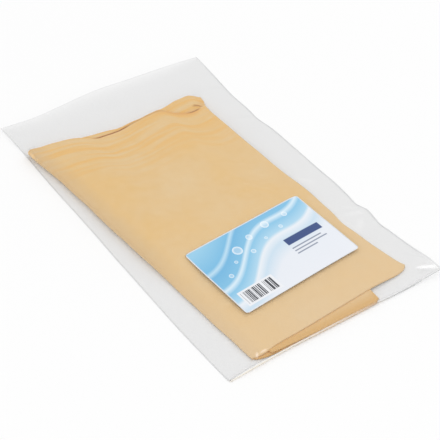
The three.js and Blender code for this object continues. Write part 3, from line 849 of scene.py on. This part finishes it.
class FilmShape:
    """The front film: a sheet that is draped over the leather inside the bag's outline."""

    COLUMNS, ROWS = 168, 252
    # How far the leather reaches past its curves at its sides and at its round far turn
    SIDE_REACH, TURN_REACH = 0.4, 1.2
    # How many times the film is lowered until it lies still
    ROUNDS = 900
    # Its slight unevenness: height, length and seed
    WAVES = ((0.08, 17, 7), (0.04, 7, 8))

    def __init__(self, skin, bag):
        self.skin = skin
        self.weld = bag.weld_width / MM
        self.fold = bag.fold_depth / MM
        self.film = bag.film_thickness / MM
        self.sag = bag.sag / MM
        across, along = shares(self.COLUMNS, self.ROWS)
        self.u, self.v = self.spread(across, along, MOUTH_EDGE(across * BAG_WIDTH))
        self.z = self.drape()

    def spread(self, across, along, far):
        """Spreads a sheet's columns and rows over the bag, inside its welds and up to a far edge."""
        near = BOTTOM_EDGE(across * BAG_WIDTH) + self.fold
        v = mix(near, far, along)
        u = mix(LEFT_EDGE(v) + self.weld, RIGHT_EDGE(v) - self.weld, across)
        return u, v

    def obstacle(self):
        """The floor's height, and the height of the leather that the film can't sink below."""
        u, v, skin = self.u, self.v, self.skin
        half = skin.thickness / 2
        radius = skin.left_fold(v) - LEFT_SIDE(v)
        inset = np.clip((skin.left_fold(v) - u) / radius, 0, 1)
        top = skin.top(u, v) + half - radius * (1 - np.sqrt(1 - inset**2))
        side, turn = self.SIDE_REACH, self.TURN_REACH
        inside = u > LEFT_SIDE(v)
        in_top = inside & (u < TOP_RIGHT(v) + side) & (v > TOP_HEM(u) - side) & (v < TOP_RIDGE(u) + turn)
        in_low = inside & (u < LOW_RIGHT(v)) & (v > LOW_HEM(u) - side) & (v < LOW_RIDGE(u) + turn)
        in_inner = in_low & (u > INNER_LEFT(v)) & (v > INNER_HEM(u) - side)
        floor = 2 * self.film + 0.1 + corner_curl(u, v)
        low = np.where(in_inner, skin.inner(u, v), skin.middle(u, v)) + half
        # The film is stiff enough to bend slowly where it leaves the top panel's right edge
        edge = TOP_RIGHT(v)
        past = u - edge
        shoulder = skin.top(edge, v) + half - 0.1 * past**2
        on_shoulder = (past > 0) & (past < 4) & (v > TOP_RIGHT.start) & (v < TOP_RIGHT.end)
        tops = [np.where(in_top, top, 0), np.where(in_low, low, 0), np.where(on_shoulder, shoulder, 0)]
        return floor, np.max(tops, axis=0) + DRAPE_GAP

    def drape(self):
        """Lowers the film on to the leather: each round, every point sinks below its neighbours' mean."""
        floor, leather = self.obstacle()
        lowest = np.maximum(floor, leather)
        z = np.full_like(lowest, lowest.max())
        mouth = np.maximum(MOUTH(self.u[-1]), floor[-1])
        near = np.maximum(FOLD_HEIGHT(self.u[0]) + corner_curl(self.u[0], self.v[0]), lowest[0])
        edge = 1.5 * self.film + corner_curl(self.u, self.v)
        for _ in range(self.ROUNDS):
            mean = (z[:-2, 1:-1] + z[2:, 1:-1] + z[1:-1, :-2] + z[1:-1, 2:]) / 4
            z[1:-1, 1:-1] = np.maximum(mean - self.sag, lowest[1:-1, 1:-1])
            z[-1], z[0] = mouth, near
            z[:, 0], z[:, -1] = edge[:, 0], edge[:, -1]
        return z + self.creases()

    def creases(self):
        """Small ridges and a slight unevenness, which fade at the bag's edges."""
        u, v = self.u, self.v
        rise = sum(height * (1 + unevenness(u, v, length, seed)) for height, length, seed in self.WAVES)
        rise = rise + strokes(WRINKLES, u, v)
        inset = np.minimum(u - u[:, :1], u[:, -1:] - u)
        return rise * smooth(inset, 0, 4) * smooth(v - v[:1], 0, 4)

    def at(self, u, v):
        """The film's height at other places."""
        near = BOTTOM_EDGE(u) + self.fold
        low, high = LEFT_EDGE(v) + self.weld, RIGHT_EDGE(v) - self.weld
        row = (v - near) / (MOUTH_EDGE(u) - near) * self.ROWS
        column = (u - low) / (high - low) * self.COLUMNS
        i, j = np.floor(row).astype(int), np.floor(column).astype(int)
        lower = mix(self.z[i, j], self.z[i, j + 1], column - j)
        upper = mix(self.z[i + 1, j], self.z[i + 1, j + 1], column - j)
        return mix(lower, upper, row - i)


def film_shape(context):
    """The draped film for the present settings."""
    bag = context.scene.chamois_bag
    return FilmShape(FoldedSkin(context.scene.chamois_skin, bag), bag)


class CHAMOIS_OT_films(bpy.types.Operator):
    """Model the bag's two films"""

    bl_idname = "chamois.films"
    bl_label = "Bag films"

    def execute(self, context):
        bag = context.scene.chamois_bag
        shape = film_shape(context)
        # Painted highlights along the film's creases
        highlighted = strokes(CREASE_HIGHLIGHTS, shape.u, shape.v)
        front = grid_piece("front_film", shape.u, shape.v, shape.z, crease=highlighted)
        across, along = shares(60, 90)
        u, v = shape.spread(across, along, BAG_LENGTH)
        back = grid_piece("back_film", u, v, shape.film / 2 + FILM_GAP + corner_curl(u, v))
        # The back film clings to what it lies on, so it hardly shows, and one surface stands for it
        hazy = film_material("hazy_polyethylene_film", bag.colour, 0.054, 0.15)
        clear = film_material("clear_polyethylene_film", "#9a9c9e", 0.005, 0.02)
        thicken(front, bag.film_thickness)
        for piece, material, node in ((front, hazy, "bag_front_film"), (back, clear, "bag_back_film")):
            bag_finish(piece, material, node)
        return {"FINISHED"}


class CHAMOIS_OT_edges(bpy.types.Operator):
    """Model the side welds and the bottom fold"""

    bl_idname = "chamois.edges"
    bl_label = "Bag edges"

    def execute(self, context):
        bag = context.scene.chamois_bag
        shape = film_shape(context)
        fused = film_material("fused_polyethylene", "#8c8e90", 0.12, 0.2)
        folded = fold_material()
        across, share = shares(4, 16)
        pieces = []
        for name, edge, way, side in (("left_weld", LEFT_EDGE, 1, 0), ("right_weld", RIGHT_EDGE, -1, -1)):
            v = shape.v[:, side][:, None] + 0 * across
            u = edge(v) + way * shape.weld * (across if way > 0 else 1 - across)
            pieces.append(grid_piece(name, u, v, FILM_GAP + shape.film + corner_curl(u, v)))
        u = shape.u[:1]
        angle = (share - 0.5) * math.pi
        low = shape.film / 2 + FILM_GAP + corner_curl(u, shape.v[:1])
        middle, half = (shape.z[:1] + low) / 2, (shape.z[:1] - low) / 2
        v = shape.v[:1] - shape.fold * np.cos(angle)
        face = ("fold_round", (u + 0 * v) / BAG_WIDTH, share + 0 * v)
        pieces.append(grid_piece("bottom_fold", u + 0 * v, v, middle + half * np.sin(angle), face))
        nodes = ("bag_left_weld", "bag_right_weld", "bag_bottom_fold")
        for piece, node, material, layers in zip(pieces, nodes, (fused, fused, folded), (2, 2, 1)):
            thicken(piece, layers * bag.film_thickness)
            bag_finish(piece, material, node)
        return {"FINISHED"}


class CHAMOIS_OT_label(bpy.types.Operator):
    """Model the label on the front film"""

    bl_idname = "chamois.label"
    bl_label = "Label"

    def execute(self, context):
        settings = context.scene.chamois_label
        shape = film_shape(context)
        centre = (LABEL_LOW + LABEL_HIGH) / 2
        width, height, corner = settings.width / MM, settings.height / MM, settings.corner / MM
        across, along = shares(80, 62)
        y = (along - 0.5) * height
        past = np.maximum(abs(y) - (height / 2 - corner), 0)
        half = width / 2 - corner + np.sqrt(np.maximum(corner**2 - past**2, 0))
        x = (across - 0.5) * 2 * half
        cosine, sine = math.cos(settings.turn), math.sin(settings.turn)
        u = (centre.x - CAD_LOW.x) / MM + x * cosine - y * sine
        v = (centre.y - CAD_LOW.y) / MM + x * sine + y * cosine
        lift = (shape.film + settings.thickness / MM) / 2 + FILM_GAP
        face = ("label_face", x / width + 0.5, y / width + height / width / 2 + 0 * x)
        piece = grid_piece("label", u, v, shape.at(u, v) + lift, face)
        thicken(piece, settings.thickness)
        bag_finish(piece, label_material(settings.colour), "label_sticker")
        return {"FINISHED"}


class CHAMOIS_OT_stage(bpy.types.Operator):
    """Make the floor, the light and the camera"""

    bl_idname = "chamois.stage"
    bl_label = "Stage"

    def execute(self, context):
        settings = context.scene.chamois_stage
        mesh = bpy.data.meshes.new("studio_floor")
        bm = bmesh.new()
        bmesh.ops.create_grid(bm, x_segments=2, y_segments=2, size=settings.floor_size / 2)
        bmesh.ops.translate(bm, verts=bm.verts, vec=(0, 0, -FLOOR_DROP))
        bm.to_mesh(mesh)
        bm.free()
        floor = bpy.data.objects.new("studio_floor", mesh)
        context.collection.objects.link(floor)
        floor.data.materials.append(floor_material(settings.floor_colour))

        world = bpy.data.worlds.new("studio_sky")
        context.scene.world = world
        world.use_nodes = True
        world.node_tree.nodes.clear()
        even = {"Color": "#ffffff", "Strength": settings.sky_level}
        sky = add_node(world.node_tree, "Background", inputs=even)
        add_node(world.node_tree, "OutputWorld", inputs={"Surface": sky})

        for name, power, place in (
            ("key_softbox", settings.key_power, KEY_PLACE),
            ("fill_softbox", settings.fill_power, FILL_PLACE),
        ):
            light = bpy.data.lights.new(name, "AREA")
            light.shape = "RECTANGLE"
            light.size, light.size_y = LAMP_SIDE, LAMP_SIDE
            light.energy = power
            lamp = bpy.data.objects.new(name, light)
            lamp.location = place
            lamp.rotation_euler = (-lamp.location).to_track_quat("-Z", "Y").to_euler()
            context.collection.objects.link(lamp)

        lens = bpy.data.cameras.new("camera")
        lens.lens, lens.sensor_width = CAMERA_LENS, CAMERA_SENSOR
        camera = bpy.data.objects.new("camera", lens)
        camera.location = Vector(CAMERA_PLACE) * MM
        camera.rotation_euler = Euler([math.radians(angle) for angle in CAMERA_TURN])
        context.collection.objects.link(camera)
        context.scene.camera = camera
        context.scene.view_settings.view_transform = "Standard"
        return {"FINISHED"}


class CHAMOIS_PT_sidebar(bpy.types.Panel):
    """Lists the pieces"""

    bl_label = "Chamois leather"
    bl_idname = "CHAMOIS_PT_sidebar"
    bl_space_type = "VIEW_3D"
    bl_region_type = "UI"
    bl_category = "Chamois"

    def draw(self, context):
        for operator in OPERATORS:
            self.layout.operator(operator.bl_idname)


GROUPS = {
    "chamois_skin": SkinSettings,
    "chamois_bag": BagSettings,
    "chamois_label": LabelSettings,
    "chamois_stage": StageSettings,
}
OPERATORS = (CHAMOIS_OT_films, CHAMOIS_OT_skin, CHAMOIS_OT_edges, CHAMOIS_OT_label, CHAMOIS_OT_stage)


def register():
    """Registers the settings, the operators and the panel."""
    for kind in (*GROUPS.values(), *OPERATORS, CHAMOIS_PT_sidebar):
        bpy.utils.register_class(kind)
    for name, group in GROUPS.items():
        setattr(bpy.types.Scene, name, bpy.props.PointerProperty(type=group))


def unregister():
    """Takes out what register put in."""
    for name in GROUPS:
        delattr(bpy.types.Scene, name)
    for kind in (CHAMOIS_PT_sidebar, *reversed(OPERATORS), *GROUPS.values()):
        bpy.utils.unregister_class(kind)


def main():
    """Makes every piece."""
    register()
    bpy.ops.chamois.films()
    bpy.ops.chamois.skin()
    bpy.ops.chamois.edges()
    bpy.ops.chamois.label()
    bpy.ops.chamois.stage()


if __name__ == "__main__":
    main()
